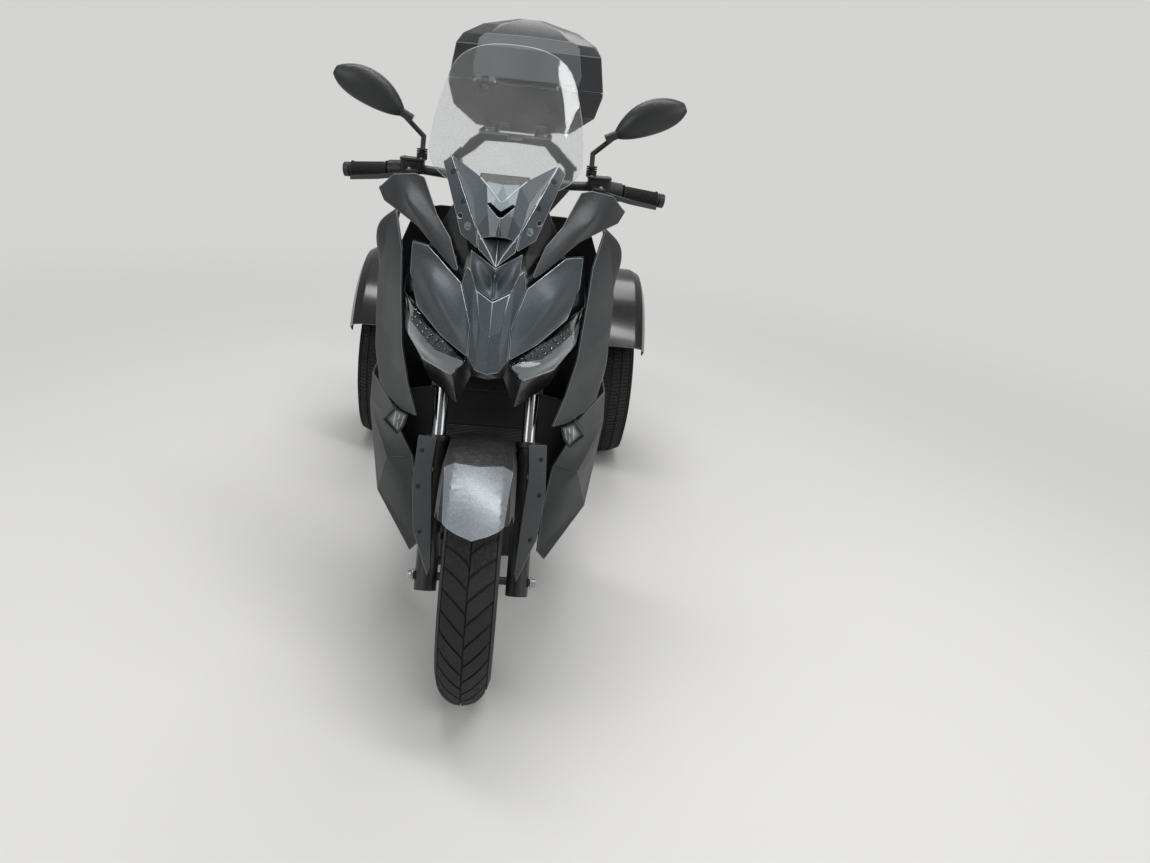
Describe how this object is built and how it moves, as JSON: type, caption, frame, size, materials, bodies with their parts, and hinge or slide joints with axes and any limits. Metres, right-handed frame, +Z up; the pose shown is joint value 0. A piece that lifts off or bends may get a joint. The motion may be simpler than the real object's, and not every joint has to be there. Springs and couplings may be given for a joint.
{
  "type": "motorized trike",
  "caption": "Scooter-based motor trike with a steered front wheel, two rear wheels on a beam axle, a windscreen and a top case.",
  "frame": {"origin": "on the ground, under the middle of the overall length and width", "axes": "+X to the vehicle's left, -Y forward, +Z up"},
  "size_m": [0.996, 2.2619, 1.496],
  "materials": {
    "panel_silver": "satin",
    "panel_dark": "matt",
    "black_plastic": "matt",
    "gloss_black": "gloss",
    "black_steel": "satin",
    "clear": "clear",
    "lens": "clear",
    "red_lens": "clear",
    "seat_cover": "grained",
    "tyre": "matt",
    "cast_rim": "painted",
    "steel": "brushed",
    "alloy": "cast",
    "chrome": "bright",
    "rubber": "matt"
  },
  "bodies": {
    "body": {"frame": "black_steel", "front_cowl": "black_plastic", "nose_cover": "panel_silver", "nose_brow": "panel_silver", "v_panel": "panel_silver", "windscreen": "clear", "dash": "black_plastic", "instrument_hood": "black_plastic", "floorboards": "black_plastic", "fuel_lid": "black_plastic", "splash_panel": "black_plastic", "radiator": "alloy", "storage_tub": "black_plastic", "tail_lamp": "red_lens", "arch_carrier": "black_steel", "case_base": "black_plastic", "engine_block": "alloy", "belt_case": "alloy", "muffler": "steel", "rear_axle": "black_steel", "shocks": "black_steel", "plate_bracket": "black_plastic", "cheeks": "panel_silver", "headlamps": "lens", "screen_strips": "panel_dark", "wings": "panel_dark", "blades": "panel_dark", "leg_shields": "panel_dark", "turn_signals": "lens", "signal_pods": "black_plastic", "side_cowls": "panel_dark", "mudguards": "gloss_black"},
    "steering": {"fork": "alloy", "front_fender": "panel_silver", "fender_frame": "black_plastic", "handlebar": "black_steel", "fork_covers": "panel_dark", "grips": "rubber", "switchgear": "black_plastic", "mirrors": "black_plastic"},
    "front_wheel": {"front_tyre": "tyre", "front_rim": "cast_rim", "front_disc": "steel"},
    "rear_wheel_left": {"rear_tyre_left": "tyre", "rear_rim_left": "cast_rim", "rear_disc_left": "steel"},
    "rear_wheel_right": {"rear_tyre_right": "tyre", "rear_rim_right": "cast_rim", "rear_disc_right": "steel"},
    "seat": {"seat": "seat_cover"},
    "case_lid": {"case_lid": "gloss_black", "case_panel": "panel_dark"}
  },
  "joints": [
    {"name": "steering", "type": "hinge", "parent": "body", "child": "steering", "pos_m": [0, -0.82239, 0.25749], "axis": [0, 0.4462, 0.8949], "range_deg": [-35, 35]},
    {"name": "front_wheel_spin", "type": "hinge", "parent": "steering", "child": "front_wheel", "pos_m": [0, -0.8555, 0.274], "axis": [1, 0, 0], "continuous": true},
    {"name": "rear_wheel_left_spin", "type": "hinge", "parent": "body", "child": "rear_wheel_left", "pos_m": [0.404, 0.6845, 0.286], "axis": [1, 0, 0], "continuous": true},
    {"name": "rear_wheel_right_spin", "type": "hinge", "parent": "body", "child": "rear_wheel_right", "pos_m": [-0.404, 0.6845, 0.286], "axis": [1, 0, 0], "continuous": true},
    {"name": "seat_hinge", "type": "hinge", "parent": "body", "child": "seat", "pos_m": [0, -0.1435, 0.702], "axis": [1, 0, 0], "range_deg": [0, 60]},
    {"name": "case_lid_hinge", "type": "hinge", "parent": "body", "child": "case_lid", "pos_m": [0, 0.7005, 1.284], "axis": [1, 0, 0], "range_deg": [0, 75]}
  ]
}
